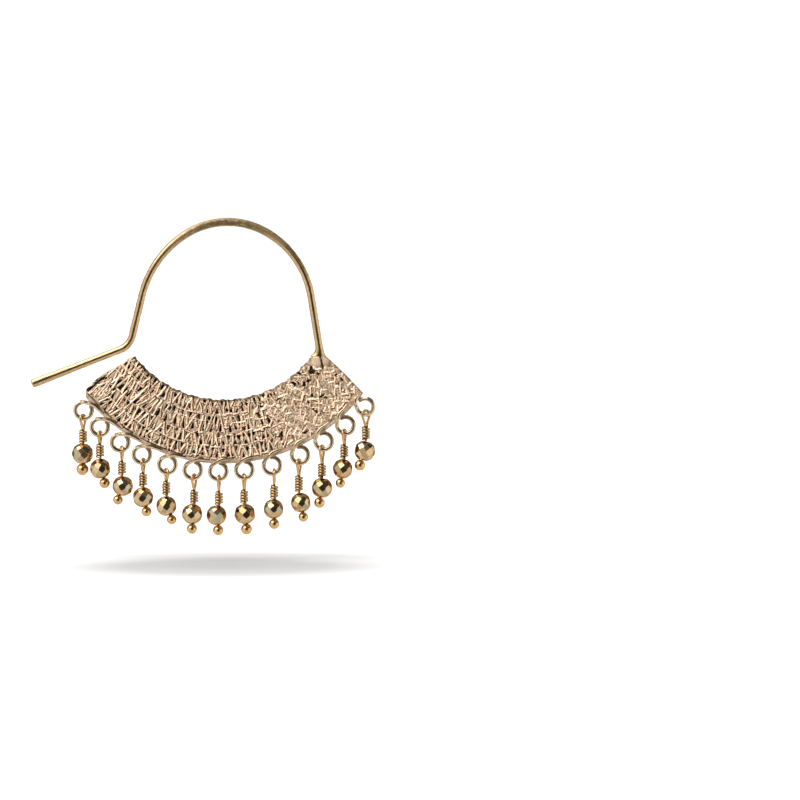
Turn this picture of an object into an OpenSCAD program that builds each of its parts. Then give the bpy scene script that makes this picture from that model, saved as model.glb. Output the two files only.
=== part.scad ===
// Dangle earring: a crescent hoop of cast relief metal with thirteen faceted bead drops.
// The frame: +X to the right as seen from the front, +Z up, the relief faces -Y.
// The origin is the middle of the ear wire at the top of its arch, where it hangs in the ear lobe.
// Angles in the plane of the hoop are counted from +X towards +Z.

/* [Ear wire] */
// Diameter of the ear wire
ear_wire_d = 1.12; // [0.8:0.02:1.3]
// Centreline radius of the arch over the ear lobe
arch_top_r = 11.64; // [10:0.1:13]
// Centreline radius of the arch's side over the soldered leg
arch_right_r = 13.58; // [13:0.1:15]
// Centreline radius of the arch's side over the free leg
arch_left_r = 15.36; // [13.5:0.1:18]
// Length of the straight leg that is soldered to the plate
right_leg = 8.9; // [8:0.1:9.5]
// Length of the straight leg above the free bend
left_leg = 6.15; // [5:0.1:7]
// Centreline radius of the free bend
bend_r = 3.0; // [2:0.1:4]
// Length of the straight tail past the bend, without its tip
tail = 13.9; // [8:0.1:16]
// Length of the tail's tapered tip
tip = 0.45; // [0.2:0.05:1]

/* [Crescent plate] */
// Radius of the plate's upper edge
plate_r_in = 16.6; // [15.5:0.1:17.5]
// Radius of the plate's lower edge
plate_r_out = 26.2; // [25.9:0.1:26.3]
// Thickness of the plate under its relief
plate_t = 0.85; // [0.6:0.05:1.2]
// Height of the relief over the plate's front
relief_h = 0.45; // [0.2:0.05:0.7]
// Number of rows of sunk cells between the curved ribs
relief_rows = 4; // [3:1:5]
// Width of the curved ribs
rib_w = 0.45; // [0.3:0.05:0.6]
// Width of the slanted bars between the ribs
bar_w = 0.4; // [0.3:0.05:0.5]
// Distance from one slanted bar to the next
bar_pitch = 1.15; // [1.1:0.05:1.6]

/* [Eyelets] */
// Radius of the arc along which the eyelets lie
eyelet_arc_r = 27.55; // [27.4:0.05:27.6]
// Centreline radius of an eyelet
eyelet_r = 1.24; // [1.14:0.02:1.26]
// Diameter of the eyelet wire
eyelet_wire_d = 0.56; // [0.5:0.02:0.6]
// Thickness of an eyelet's tail along the plate's lower edge
eyelet_tail_t = 0.5; // [0.4:0.02:0.54]

/* [Head pins] */
// Diameter of the head pin wire
pin_wire_d = 0.4; // [0.36:0.01:0.42]
// Centreline radius of a head pin's loop
loop_r = 0.64; // [0.6:0.01:0.7]
// Centreline radius of the wire wraps round a head pin
wrap_r = 0.39; // [0.38:0.01:0.4]
// Height of one wrap
wrap_pitch = 0.42; // [0.42:0.01:0.45]

/* [Beads] */
// Height of a bead along its bore
bead_h = 2.85; // [2.6:0.05:3]
// Number of facets round a bead
bead_sides = 9; // [8:1:12]
// Diameter of the bore through a bead
bore_d = 0.54; // [0.5:0.02:0.6]

/* [Hidden] */
$fn = 48;
DROPS = 13;

function two_digits(k) = str(k < 10 ? "0" : "", k);
function pin_name(k) = str("head_pin_", two_digits(k));
function bead_name(k) = str("bead_", two_digits(k));

// One row a drop, from the free end to the soldered end. The columns are:
// the angle of its eyelet about the plate's centre,
// how far the eyelet lies outside the eyelets' arc,
// the eyelet's turn about the line to the plate's centre,
// the length of the eyelet's tail in degrees of the plate's arc,
// the turn of the pin's loop out of the plane across the hoop,
// the slip of the loop to the side of its eyelet's lowest point,
// the drop from the eyelet's centre to the bead's centre,
// the number of wraps, the lean of the pin below them,
// the bead's diameter, its offset from the bore and the ball's diameter.
ANGLE = 0;
RISE = 1;
TURN = 2;
TAIL = 3;
LOOP_TURN = 4;
SLIP = 5;
DROP = 6;
WRAPS = 7;
LEAN = 8;
BEAD_D = 9;
OFFSET = 10;
BALL_D = 11;
drops = [
    [-139.0, 0.20, 0, 5.2, 28, -0.10, 6.51, 5, -2.0, 3.15, -0.04, 1.80],
    [-131.8, 0.22, 0, 5.3, 13, 0.00, 6.23, 5, 9.7, 3.05, -0.27, 1.58],
    [-123.9, 0.20, 0, 5.4, -19, 0.25, 6.50, 5, -10.0, 3.05, 0.37, 1.46],
    [-116.2, 0.15, 0, 5.8, 16, 0.17, 6.41, 5, 7.0, 3.05, -0.23, 1.50],
    [-107.7, 0.15, 0, 5.0, -30, -0.16, 6.16, 5, 11.7, 3.00, -0.36, 1.44],
    [-99.6, 0.05, 0, 5.0, 27, 0.20, 6.63, 5, -5.8, 3.05, -0.17, 1.54],
    [-91.6, -0.16, 0, 5.2, 8, 0.08, 6.67, 5, -2.2, 3.00, -0.33, 1.56],
    [-83.4, -0.20, 0, 5.2, -21, -0.03, 6.66, 5, 4.8, 3.10, -0.05, 1.65],
    [-74.6, -0.05, 0, 6.0, -8, 0.32, 6.55, 5, -0.2, 2.95, -0.10, 1.58],
    [-65.2, -0.09, 0, 5.0, 24, -0.17, 7.19, 6, 9.8, 2.95, 0.00, 1.46],
    [-56.6, -0.15, 0, 5.0, 26, -0.27, 7.00, 5, -6.0, 3.05, 0.15, 1.60],
    [-48.1, -0.06, 0, 5.0, 19, -0.19, 6.54, 5, -9.1, 2.95, 0.00, 1.44],
    [-39.6, 0.12, -25, 1.6, 58, -0.02, 6.66, 5, -13.6, 3.10, 0.21, 1.62]
];

// The ear wire is a run of tangent arcs and rods. These are the headings at its joins.
right_join = 9.0;
top_join = 59.6;
left_join = 122.8;
free_join = 166;
bend_turn = 54.75;
ear_r = ear_wire_d / 2;
tip_r = 0.72 * ear_r;
arch_c = [0, -arch_top_r];
right_c = arch_c - polar(arch_right_r - arch_top_r, top_join);
left_c = arch_c - polar(arch_left_r - arch_top_r, left_join);
right_top = right_c + polar(arch_right_r, right_join);
right_foot = right_top + polar(right_leg, right_join - 90);
left_top = left_c + polar(arch_left_r, free_join);
left_end = left_top + polar(left_leg, free_join + 90);
bend_c = left_end + polar(bend_r, free_join);
bend_end = bend_c + polar(bend_r, free_join + 180 - bend_turn);
tail_heading = free_join + 90 - bend_turn;
tail_end = bend_end + polar(tail, tail_heading);
tail_tip = tail_end + polar(tip, tail_heading);
// The solder at the foot of the soldered leg
solder_r = 0.95;
solder_h = 1.1;

plate_c = [-0.81, -10.0];
plate_back = 0.45;
// The two end cuts of the plate, seen from its centre: each from its upper to its lower corner
left_cut = [
    [-13.15, -10.08],
    [-14.2, -10.4],
    [-15.2, -11.2],
    [-16.4, -11.85],
    [-18.45, -13.05],
    [-21.0, -15.4]
];
right_cut = [[15.18, -9.86], [18.25, -12.7], [21.1, -15.7]];
past_edge = 1.5;
inside_hole = 0.62;
below_plate = 34;

// The relief stays this far inside the plate's outline, and is sunk this deep into its front.
relief_inset = 0.14;
relief_sink = 0.1;
relief_from = -142;
relief_to = -38.6;
lean_max = 0.24;
row_h = (plate_r_out - plate_r_in - 2 * relief_inset - rib_w) / relief_rows;

eyelet_wire_r = eyelet_wire_d / 2;
// An eyelet's tail reaches from inside the plate's lower edge down to here.
tail_r_out = eyelet_arc_r - eyelet_r + 0.17;
tail_sink = 0.1;
// It starts this many degrees of the plate's arc before the eyelet's top.
tail_lap = 0.6;

pin_r = pin_wire_d / 2;
// The shank is a little thicker where the wraps bite into it.
shank_r = pin_r + 0.02;
// Round swellings where the pin's wire bends
neck_r = 0.33;
knee_r = 0.25;
// Rest gaps between neighbours that touch when worn
gap = 0.04;
hang_gap = 0.08;

// Two lengths of wire stop this far short of the round knuckle that joins them.
short = 0.04;
swell = 0.02;

function polar(r, a) = r * [cos(a), sin(a)];
function unit(v) = v / norm(v);
function arc_degrees(length, r) = length / r * 180 / PI;
function noise(i, j) = let (v = abs(43.7 * sin(127.1 * i + 311.7 * j))) v - floor(v);

// A round rod between two points of the hoop's plane
module rod(from, to, r1, r2) {
    step = to - from;
    translate([from[0], 0, from[1]])
        rotate([0, 90 - atan2(step[1], step[0]), 0])
            cylinder(h = norm(step), r1 = r1, r2 = r2);
}

// A length of ear wire between two points
module straight_wire(from, to) {
    rod(from + short * unit(to - from), to - short * unit(to - from), ear_r, ear_r);
}

// A bent length of ear wire in the hoop's plane
module bent_wire(centre, r, from, to) {
    margin = arc_degrees(short, r);
    translate([centre[0], 0, centre[1]])
        rotate([90, 0, 0])
            rotate([0, 0, from + margin])
                rotate_extrude(angle = to - from - 2 * margin)
                    translate([r, 0])
                        circle(ear_r);
}

// A knuckle joins two lengths of ear wire.
module knuckle(at) {
    translate([at[0], 0, at[1]])
        sphere(ear_r + swell);
}

module ear_wire() {
    straight_wire(right_foot, right_top);
    bent_wire(right_c, arch_right_r, right_join, top_join);
    bent_wire(arch_c, arch_top_r, top_join, left_join);
    bent_wire(left_c, arch_left_r, left_join, free_join);
    straight_wire(left_top, left_end);
    bent_wire(bend_c, bend_r, free_join + 180 - bend_turn, free_join + 180);
    straight_wire(bend_end, tail_end);
    joins = [
        right_top,
        arch_c + polar(arch_top_r, top_join),
        arch_c + polar(arch_top_r, left_join),
        left_top,
        left_end,
        bend_end
    ];
    for (join = joins) knuckle(join);
    rod(tail_end - polar(2 * short, tail_heading), tail_tip, ear_r - swell, tip_r);
    rod(right_foot, right_foot + polar(solder_h, right_join + 90), solder_r, ear_r - swell);
}

module plate_outline() {
    left_step = left_cut[5] - left_cut[4];
    right_step = right_cut[2] - right_cut[1];
    intersection() {
        difference() {
            circle(plate_r_out, $fn = 180);
            circle(plate_r_in, $fn = 180);
        }
        polygon(concat(
            [inside_hole * left_cut[0]],
            left_cut,
            [
                left_cut[5] + past_edge * left_step,
                [-below_plate, -below_plate],
                [below_plate, -below_plate],
                right_cut[2] + past_edge * right_step
            ],
            [for (k = [2:-1:0]) right_cut[k]],
            [[inside_hole * right_cut[0][0], right_cut[0][1] - 1.1]]
        ));
    }
}

// The bars' places along a row, in degrees, and their lean, in millimetres at either end
function row_r(row) = plate_r_in + relief_inset + rib_w + row * row_h;
function row_bars(row) = floor((relief_to - relief_from) / arc_degrees(bar_pitch, row_r(row)));
function bar_angle(row, k) =
    relief_from + (relief_to - relief_from) * (k + 0.5) / (row_bars(row) + 1);
function bar_lean(row, k) = lean_max * (k % 2 == 0 ? 1 : -1) * (0.4 + 0.6 * noise(row, k));
// A sunk cell lies between a bar and the next one.
function cell(row, k) =
    let (low = row_r(row), high = row_r(row) + row_h - rib_w)
    [
        polar(low, bar_angle(row, k) + arc_degrees(bar_w / 2 + bar_lean(row, k), low)),
        polar(low, bar_angle(row, k + 1) + arc_degrees(bar_lean(row, k + 1) - bar_w / 2, low)),
        polar(high, bar_angle(row, k + 1) - arc_degrees(bar_lean(row, k + 1) + bar_w / 2, high)),
        polar(high, bar_angle(row, k) + arc_degrees(bar_w / 2 - bar_lean(row, k), high))
    ];

module relief() {
    arc_steps = 60;
    step = (relief_to - relief_from) / arc_steps;
    edge = concat(
        [for (k = [0:arc_steps]) polar(plate_r_in + relief_inset, relief_from + k * step)],
        [for (k = [arc_steps:-1:0]) polar(plate_r_out - relief_inset, relief_from + k * step)]
    );
    cells = [for (row = [0:relief_rows - 1]) for (k = [0:row_bars(row) - 1]) cell(row, k)];
    corners = [for (c = cells) for (p = c) p];
    linear_extrude(relief_h + relief_sink)
        polygon(
            concat(edge, corners),
            concat(
                [[for (k = [0:len(edge) - 1]) k]],
                [for (c = [0:len(cells) - 1]) [for (k = [0:3]) len(edge) + 4 * c + k]]
            )
        );
}

module crescent_plate() {
    translate([plate_c[0], plate_back, plate_c[1]])
        rotate([90, 0, 0]) {
            linear_extrude(plate_t)
                plate_outline();
            translate([0, 0, plate_t - relief_sink])
                relief();
        }
}

// A piece of a flat ring about the plate's centre
module ring_sector(r_in, r_out, from, to) {
    reach = 2 * r_out;
    intersection() {
        difference() {
            circle(r_out, $fn = 180);
            circle(r_in, $fn = 180);
        }
        polygon([[0, 0], polar(reach, from), polar(reach, to)]);
    }
}

// How far an eyelet's middle lies from the plate's centre
function eyelet_out_r(row) = eyelet_arc_r + row[RISE];

// A wire ring under the plate's lower edge, and its tail soldered along that edge
module eyelet(row) {
    centre = plate_c + polar(eyelet_out_r(row), row[ANGLE]);
    translate([centre[0], 0, centre[1]])
        rotate([0, -row[ANGLE], 0])
            rotate([row[TURN], 0, 0])
                rotate([90, 0, 0])
                    rotate_extrude()
                        translate([eyelet_r, 0])
                            circle(eyelet_wire_r);
    translate([plate_c[0], eyelet_tail_t / 2, plate_c[1]])
        rotate([90, 0, 0])
            linear_extrude(eyelet_tail_t)
                ring_sector(
                    plate_r_out - tail_sink,
                    tail_r_out + row[RISE],
                    row[ANGLE] - tail_lap,
                    row[ANGLE] + row[TAIL]
                );
}

// The soldered hoop: ear wire, crescent plate and eyelets in one piece
module hoop() {
    color([0.74, 0.59, 0.47]) {
        ear_wire();
        crescent_plate();
        for (row = drops) eyelet(row);
    }
}

// Where a pin hangs: the middle of the eyelet's wire under the loop, in the frame of the hoop.
// out and along are the eyelet's own directions, away from the plate and across that.
function eyelet_out(row) = [cos(row[ANGLE]), 0, sin(row[ANGLE])];
function eyelet_along(row) =
    [-sin(row[ANGLE]) * cos(row[TURN]), sin(row[TURN]), cos(row[ANGLE]) * cos(row[TURN])];
function slip_angle(row) = arc_degrees(row[SLIP], eyelet_r);
function low_angle(row) = atan2(-eyelet_along(row)[2], -eyelet_out(row)[2]) + slip_angle(row);
function hang_point(row) =
    [plate_c[0], 0, plate_c[1]]
    + (eyelet_out_r(row) + eyelet_r * cos(low_angle(row))) * eyelet_out(row)
    + eyelet_r * sin(low_angle(row)) * eyelet_along(row);

function eyelet_z(row) = plate_c[1] + eyelet_out_r(row) * sin(row[ANGLE]);
// The bead stands off the wraps a little more where the pin leans.
function bead_at(row) = bead_h / 2 + gap + (wrap_r + pin_r) * tan(abs(row[LEAN]));
function ball_at(row) = bead_at(row) + bead_h / 2 + row[BALL_D] / 2 + gap;
function knee(row) =
    [hang_point(row)[0], hang_point(row)[1],
        eyelet_z(row) - row[DROP] + bead_at(row) * cos(row[LEAN])];

// Puts its children at the foot of the wraps, with -Z down the leaning pin.
module at_knee(row) {
    translate(knee(row))
        rotate([0, -row[LEAN], 0])
            children();
}

// A teardrop loop in the XZ plane, from its rounded top at z = 0 down to its point
module teardrop(height, r) {
    to_point = height - r;
    open_half = acos(r / to_point);
    leg = sqrt(to_point * to_point - r * r) - 3 * short;
    margin = arc_degrees(short, r);
    translate([0, 0, -r])
        rotate([90, 0, 0])
            rotate([0, 0, open_half - 90 + margin])
                rotate_extrude(angle = 360 - 2 * open_half - 2 * margin)
                    translate([r, 0])
                        circle(pin_r);
    for (side = [-1, 1])
        translate([side * r * sin(open_half), 0, -r - r * cos(open_half)]) {
            sphere(pin_r + swell);
            rotate([0, side * (270 - open_half), 0])
                translate([0, 0, short])
                    cylinder(h = leg - short, r = pin_r);
        }
}

module head_pin(k) {
    row = drops[k - 1];
    clear = (eyelet_wire_r + pin_r + hang_gap) / cos(slip_angle(row));
    loop_top = hang_point(row) + [0, 0, clear];
    wraps_h = row[WRAPS] * wrap_pitch;
    wraps_top = knee(row)[2] + wraps_h;
    color([0.83, 0.64, 0.37]) {
        translate(loop_top)
            rotate([0, 0, 90 - row[LOOP_TURN]])
                teardrop(loop_top[2] - wraps_top, loop_r);
        translate(knee(row)) {
            sphere(knee_r);
            translate([0, 0, wraps_h])
                sphere(neck_r);
            translate([0, 0, short])
                cylinder(h = wraps_h - 2 * short, r = shank_r);
            for (wrap = [0.5:1:row[WRAPS]])
                translate([0, 0, wrap * wrap_pitch])
                    rotate_extrude()
                        translate([wrap_r, 0])
                            circle(pin_r);
        }
        at_knee(row) {
            translate([0, 0, -ball_at(row)])
                cylinder(h = ball_at(row) - short, r = pin_r);
            translate([0, 0, -ball_at(row)])
                sphere(d = row[BALL_D]);
        }
    }
}

function facet_ring(sides, r, z, turn) =
    [for (k = [0:sides - 1]) let (a = (k + turn) * 360 / sides) [r * cos(a), r * sin(a), z]];

// A round bead cut with rows of diamond facets and a flat table at either end.
// Each row's radius is the one that keeps the diamonds flat.
module cut_bead(d, h, sides) {
    flat = cos(180 / sides);
    table_z = h / 2;
    crown_z = 0.76 * table_z;
    girdle_z = 0.43 * table_z;
    waist_r = d / 2;
    girdle_r = waist_r * flat;
    crown_r = waist_r + (girdle_r * flat - waist_r) / girdle_z * crown_z;
    table_r = girdle_r + (crown_r * flat - girdle_r) / (crown_z - girdle_z) * (table_z - girdle_z);
    points = concat(
        facet_ring(sides, table_r, table_z, 0.5),
        facet_ring(sides, crown_r, crown_z, 0),
        facet_ring(sides, girdle_r, girdle_z, 0.5),
        facet_ring(sides, waist_r, 0, 0),
        facet_ring(sides, girdle_r, -girdle_z, 0.5),
        facet_ring(sides, crown_r, -crown_z, 0),
        facet_ring(sides, table_r, -table_z, 0.5)
    );
    last = 6;
    function at(ring, k) = ring * sides + (k + sides) % sides;
    // In even rings the corners lie half a step on from those in odd rings.
    function left(ring, k) = ring % 2 == 0 ? k : k - 1;
    diamonds = [for (ring = [0:last - 2]) for (k = [0:sides - 1])
        let (side = left(ring, k))
        [at(ring, k), at(ring + 1, side + 1), at(ring + 2, k), at(ring + 1, side)]];
    top_ends = [for (k = [0:sides - 1]) [at(0, k - 1), at(0, k), at(1, k)]];
    low_ends = [for (k = [0:sides - 1]) [at(last, k), at(last, k - 1), at(last - 1, k)]];
    tables = [
        [for (k = [sides - 1:-1:0]) at(0, k)],
        [for (k = [0:sides - 1]) at(last, k)]
    ];
    polyhedron(points, concat(diamonds, top_ends, low_ends, tables));
}

module bead(k) {
    row = drops[k - 1];
    spin = 47 * k;
    color([0.70, 0.60, 0.42])
        at_knee(row)
            translate([0, 0, -bead_at(row)])
                difference() {
                    translate([row[OFFSET], 0, 0])
                        rotate([0, 0, spin])
                            cut_bead(row[BEAD_D], bead_h, bead_sides);
                    cylinder(h = 2 * bead_h, d = bore_d, center = true);
                }
}

hoop();
for (k = [1:DROPS]) {
    head_pin(k);
    bead(k);
}
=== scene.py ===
"""The looks of the dangle earring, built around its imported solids.

Lengths are in millimetres until a mesh is made.
"""

import math
import random

import bmesh
import bpy
import numpy as np
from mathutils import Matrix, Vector


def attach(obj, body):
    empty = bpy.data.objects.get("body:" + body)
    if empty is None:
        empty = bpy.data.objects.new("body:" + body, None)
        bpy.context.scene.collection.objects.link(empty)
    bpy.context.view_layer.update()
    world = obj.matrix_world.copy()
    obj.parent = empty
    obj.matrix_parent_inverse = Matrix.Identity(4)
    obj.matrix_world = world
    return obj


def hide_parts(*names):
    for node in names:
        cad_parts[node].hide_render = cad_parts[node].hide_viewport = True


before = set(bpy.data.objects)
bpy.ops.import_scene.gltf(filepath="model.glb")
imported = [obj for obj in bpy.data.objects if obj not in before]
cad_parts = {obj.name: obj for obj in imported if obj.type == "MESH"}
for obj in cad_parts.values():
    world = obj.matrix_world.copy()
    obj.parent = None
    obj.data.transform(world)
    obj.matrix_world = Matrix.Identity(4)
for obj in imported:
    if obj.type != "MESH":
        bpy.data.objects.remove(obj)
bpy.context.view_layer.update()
MM = 0.001
UP = np.array([0.0, 0.0, 1.0])

# The part's sizes, as in its source
PLATE_C = np.array([-0.81, -10.0])
R_IN, R_OUT = 16.6, 26.2
BACK_Y, FRONT_Y, RELIEF_H = 0.45, -0.40, 0.45
EYELET_ARC_R, EYELET_R, EYELET_WIRE_R = 27.55, 1.24, 0.28
PIN_R, LOOP_R, WRAP_R, WRAP_PITCH = 0.2, 0.64, 0.39, 0.42
BEAD_H, BORE_R = 2.85, 0.27
GAP, HANG_GAP = 0.04, 0.08

# One row a drop, as in the part's source: eyelet angle, distance outside the eyelets' arc, turn and tail in
# degrees, loop turn, slip, drop, wraps, lean, bead diameter, bead offset and ball diameter. The last two are
# the bead's spin and nod, in degrees.
COLUMNS = "angle rise turn tail loop_turn slip drop wraps lean bead_d offset ball_d spin nod".split()
ROWS = [
    (-139.0, 0.20, 0, 5.2, 28, -0.10, 6.51, 5, -2.0, 3.15, -0.04, 1.80, 18, 3),
    (-131.8, 0.22, 0, 5.3, 13, 0.00, 6.23, 5, 9.7, 3.05, -0.27, 1.58, 16, 0),
    (-123.9, 0.20, 0, 5.4, -19, 0.25, 6.50, 5, -10.0, 3.05, 0.37, 1.46, 3, 0),
    (-116.2, 0.15, 0, 5.8, 16, 0.17, 6.41, 5, 7.0, 3.05, -0.23, 1.50, 0, 3),
    (-107.7, 0.15, 0, 5.0, -30, -0.16, 6.16, 5, 11.7, 3.00, -0.36, 1.44, 6, 0),
    (-99.6, 0.05, 0, 5.0, 27, 0.20, 6.63, 5, -5.8, 3.05, -0.17, 1.54, 0, 2),
    (-91.6, -0.16, 0, 5.2, 8, 0.08, 6.67, 5, -2.2, 3.00, -0.33, 1.56, -14, 0),
    (-83.4, -0.20, 0, 5.2, -21, -0.03, 6.66, 5, 4.8, 3.10, -0.05, 1.65, 13, 0),
    (-74.6, -0.05, 0, 6.0, -8, 0.32, 6.55, 5, -0.2, 2.95, -0.10, 1.58, 4, -3),
    (-65.2, -0.09, 0, 5.0, 24, -0.17, 7.19, 6, 9.8, 2.95, 0.00, 1.46, 8, -2),
    (-56.6, -0.15, 0, 5.0, 26, -0.27, 7.00, 5, -6.0, 3.05, 0.15, 1.60, 4, -4),
    (-48.1, -0.06, 0, 5.0, 19, -0.19, 6.54, 5, -9.1, 2.95, 0.00, 1.44, 7, -2),
    (-39.6, 0.12, -25, 1.6, 58, -0.02, 6.66, 5, -13.6, 3.10, 0.21, 1.62, -12, -3),
]
DROPS = [dict(zip(COLUMNS, row)) for row in ROWS]


# Small geometry helpers
def polar(r, deg):
    a = math.radians(deg)
    return np.array([r * math.cos(a), r * math.sin(a)])


def smoothstep(low, high, x):
    t = np.clip((x - low) / (high - low), 0, 1)
    return t * t * (3 - 2 * t)


def in_plane(points):
    """Points of the hoop's plane as points in space."""
    return np.insert(np.asarray(points, float), 1, 0.0, axis=1)


def arc(centre, r, start, stop, step):
    count = max(2, int(round(abs(math.radians(stop - start)) * r / step)))
    return [centre + polar(r, a) for a in np.linspace(start, stop, count + 1)]


def line(p, q, step):
    count = max(1, int(round(np.linalg.norm(q - p) / step)))
    return [p + (q - p) * t for t in np.linspace(0, 1, count + 1)]


def joined(*runs):
    """One list of points from runs that meet end to end."""
    return runs[0] + [point for run in runs[1:] for point in run[1:]]


def distances(path):
    """How far along the path each of its points lies."""
    return np.concatenate([[0], np.cumsum(np.linalg.norm(np.diff(path, axis=0), axis=1))])


def smooth_path(points, step):
    """A Catmull-Rom curve through the points, at an even step."""
    p = np.asarray(points, float)
    p = np.vstack([2 * p[0] - p[1], p, 2 * p[-1] - p[-2]])
    t = np.linspace(0, 1, 12, endpoint=False)[:, None]
    fine = []
    for a, b, c, d in zip(p, p[1:], p[2:], p[3:]):
        quadratic = 2 * b + (c - a) * t + (2 * a - 5 * b + 4 * c - d) * t**2
        fine.append(0.5 * (quadratic + (3 * b - a - 3 * c + d) * t**3))
    fine = np.vstack(fine + [p[-2]])
    run = distances(fine)
    at = np.linspace(0, run[-1], max(4, int(run[-1] / step)))
    return np.column_stack([np.interp(at, run, fine[:, k]) for k in range(3)])


def path_frames(path):
    """Two directions across a path at each point, the first from +Y, that turn as little as they can."""
    tangent = np.gradient(path, axis=0)
    tangent /= np.linalg.norm(tangent, axis=1)[:, None]
    up = np.array([0.0, 1.0, 0.0])
    ups = []
    for t in tangent:
        up = up - t * (up @ t)
        up /= np.linalg.norm(up)
        ups.append(up)
    ups = np.array(ups)
    return ups, np.cross(tangent, ups)


def grid_faces(rows, cols, closed):
    """Quads of a grid of rows by cols points. closed joins the last column to the first."""
    i, j = np.meshgrid(np.arange(rows - 1), np.arange(cols if closed else cols - 1), indexing="ij")
    i, j = i.ravel(), j.ravel()
    k = (j + 1) % cols
    return np.column_stack([i * cols + j, i * cols + k, (i + 1) * cols + k, (i + 1) * cols + j])


def add_object(name, data):
    """A new object in the scene, made of new data."""
    holder = bpy.data.objects.new(name, data)
    bpy.context.scene.collection.objects.link(holder)
    return holder


# The rings of a wire's domed end, as angles up the dome
DOME = np.radians([75, 50, 25])


class Shape:
    """Points and faces of one mesh, gathered from several forms."""

    def __init__(self):
        self.points, self.faces, self.count = [], [], 0

    def add(self, points, faces):
        self.points.append(np.asarray(points, float))
        self.faces += [[int(k) + self.count for k in face] for face in faces]
        self.count += len(points)

    def add_rings(self, rings, tips):
        """A skin over rings of points, closed by a tip at each end."""
        sides = len(rings[0])
        faces = [list(face[::-1]) for face in grid_faces(len(rings), sides, True)]
        last, tip = (len(rings) - 1) * sides, len(rings) * sides
        for k in range(sides):
            n = (k + 1) % sides
            faces += [[n, k, tip], [last + k, last + n, tip + 1]]
        self.add(np.vstack(rings + tips), faces)

    def tube(self, path, wide, deep, sides, ends):
        """A wire along a path. wide and deep are its radii, deep along Y.

        ends are the lengths of its two domes, in radii.
        """
        ups, across = path_frames(path)
        along = np.cross(ups, across)

        def domed(index, reach):
            rows = []
            for a in DOME:
                centre = path[index] + along[index] * reach * wide[index] * math.sin(a)
                rows.append((centre, wide[index] * math.cos(a), deep[index] * math.cos(a), index))
            return rows

        rows = domed(0, -ends[0])
        rows += [(path[k], wide[k], deep[k], k) for k in range(len(path))]
        rows += domed(-1, ends[1])[::-1]
        turn = np.linspace(0, 2 * math.pi, sides, endpoint=False)
        rings = [
            centre + np.outer(np.cos(turn) * w, across[k]) + np.outer(np.sin(turn) * d, ups[k])
            for centre, w, d, k in rows
        ]
        tips = [path[0] - along[0] * ends[0] * wide[0], path[-1] + along[-1] * ends[1] * wide[-1]]
        self.add_rings(rings, tips)

    def finish(self, name, dull_and_shade, material, slot, node):
        """Makes and dresses the piece. The second argument gives each point's share of the darker tone, 0 to
        1: painted shade on the eyelets and pins, painted highlight and shade with patina on the plate, and a
        duller tone on the ear wire's arch.
        """
        mesh = bpy.data.meshes.new(name)
        points = np.vstack(self.points) * MM
        mesh.from_pydata(points.tolist(), [], self.faces)
        mesh.update()
        tidy = bmesh.new()
        tidy.from_mesh(mesh)
        bmesh.ops.recalc_face_normals(tidy, faces=tidy.faces)
        tidy.to_mesh(mesh)
        tidy.free()
        mesh.polygons.foreach_set("use_smooth", [True] * len(mesh.polygons))
        depth = mesh.attributes.new("depth", "FLOAT", "POINT")
        depth.data.foreach_set("value", np.asarray(dull_and_shade, np.float32))
        dress(add_object(name, mesh), material, node)


DRESSED = []


def dress(piece, material, node):
    """Gives a finished piece its material and its place in the frame, and hides the solid that it stands
    for.
    """
    DRESSED.append(piece)
    piece.data.materials.append(material)
    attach(piece, "root")
    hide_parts(node)


# Materials
class Nodes:
    """Short calls for building a material's nodes."""

    def __init__(self, tree):
        self.tree = tree
        tree.nodes.clear()

    def new(self, kind, inputs=None, **settings):
        """A node. inputs gives its sockets an output, a number, a colour or a vector. None is left out."""
        node = self.tree.nodes.new("ShaderNode" + kind)
        for key, value in settings.items():
            setattr(node, key, value)
        for key, value in (inputs or {}).items():
            socket = node.inputs[key]
            if isinstance(value, bpy.types.NodeSocket):
                self.tree.links.new(value, socket)
            elif value is not None:
                socket.default_value = (*value, 1.0) if socket.type == "RGBA" else value
        return node

    def noise(self, scale, detail=3.0, roughness=0.5, stretch=None):
        """Noise in the object's own space. scale is in waves a metre."""
        place = self.new("TexCoord").outputs["Object"]
        if stretch:
            place = self.new("Mapping", {"Vector": place, "Scale": stretch}).outputs["Vector"]
        inputs = {"Vector": place, "Scale": scale, "Detail": detail, "Roughness": roughness}
        return self.new("TexNoise", inputs).outputs["Fac"]

    def attribute(self, name):
        return self.new("Attribute", attribute_name=name).outputs["Fac"]

    def ramp(self, value, stops):
        """stops are (place, colour or number) rows."""
        node = self.new("ValToRGB", {"Fac": value})
        elements = node.color_ramp.elements
        while len(elements) < len(stops):
            elements.new(0.5)
        for element, (place, colour) in zip(elements, stops):
            element.position = place
            colour = (colour,) * 3 if isinstance(colour, (int, float)) else colour
            element.color = (*colour, 1.0)
        return node.outputs["Color"]

    def remap(self, value, low, high, to_low, to_high, **settings):
        inputs = {"Value": value, "From Min": low, "From Max": high, "To Min": to_low, "To Max": to_high}
        return self.new("MapRange", inputs, **settings).outputs["Result"]

    def mix(self, share, first, second, blend="MIX"):
        """Mixes two colours. Sockets 6 and 7 take them, and output 2 gives the colour."""
        inputs = {"Factor": share, 6: first, 7: second}
        return self.new("Mix", inputs, data_type="RGBA", blend_type=blend).outputs[2]

    def math(self, operation, first, second):
        return self.new("Math", {0: first, 1: second}, operation=operation).outputs[0]

    def bump(self, height, distance, strength, normal=None):
        inputs = {"Height": height, "Distance": distance, "Strength": strength, "Normal": normal}
        return self.new("Bump", inputs).outputs["Normal"]

    def shader(self, colour, metallic, roughness, normal=None):
        inputs = {"Base Color": colour, "Metallic": metallic, "Roughness": roughness, "Normal": normal}
        node = self.new("BsdfPrincipled", inputs)
        self.new("OutputMaterial", {"Surface": node.outputs["BSDF"]})


def new_material(name):
    material = bpy.data.materials.new(name)
    material.use_nodes = True
    return material, Nodes(material.node_tree)


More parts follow.
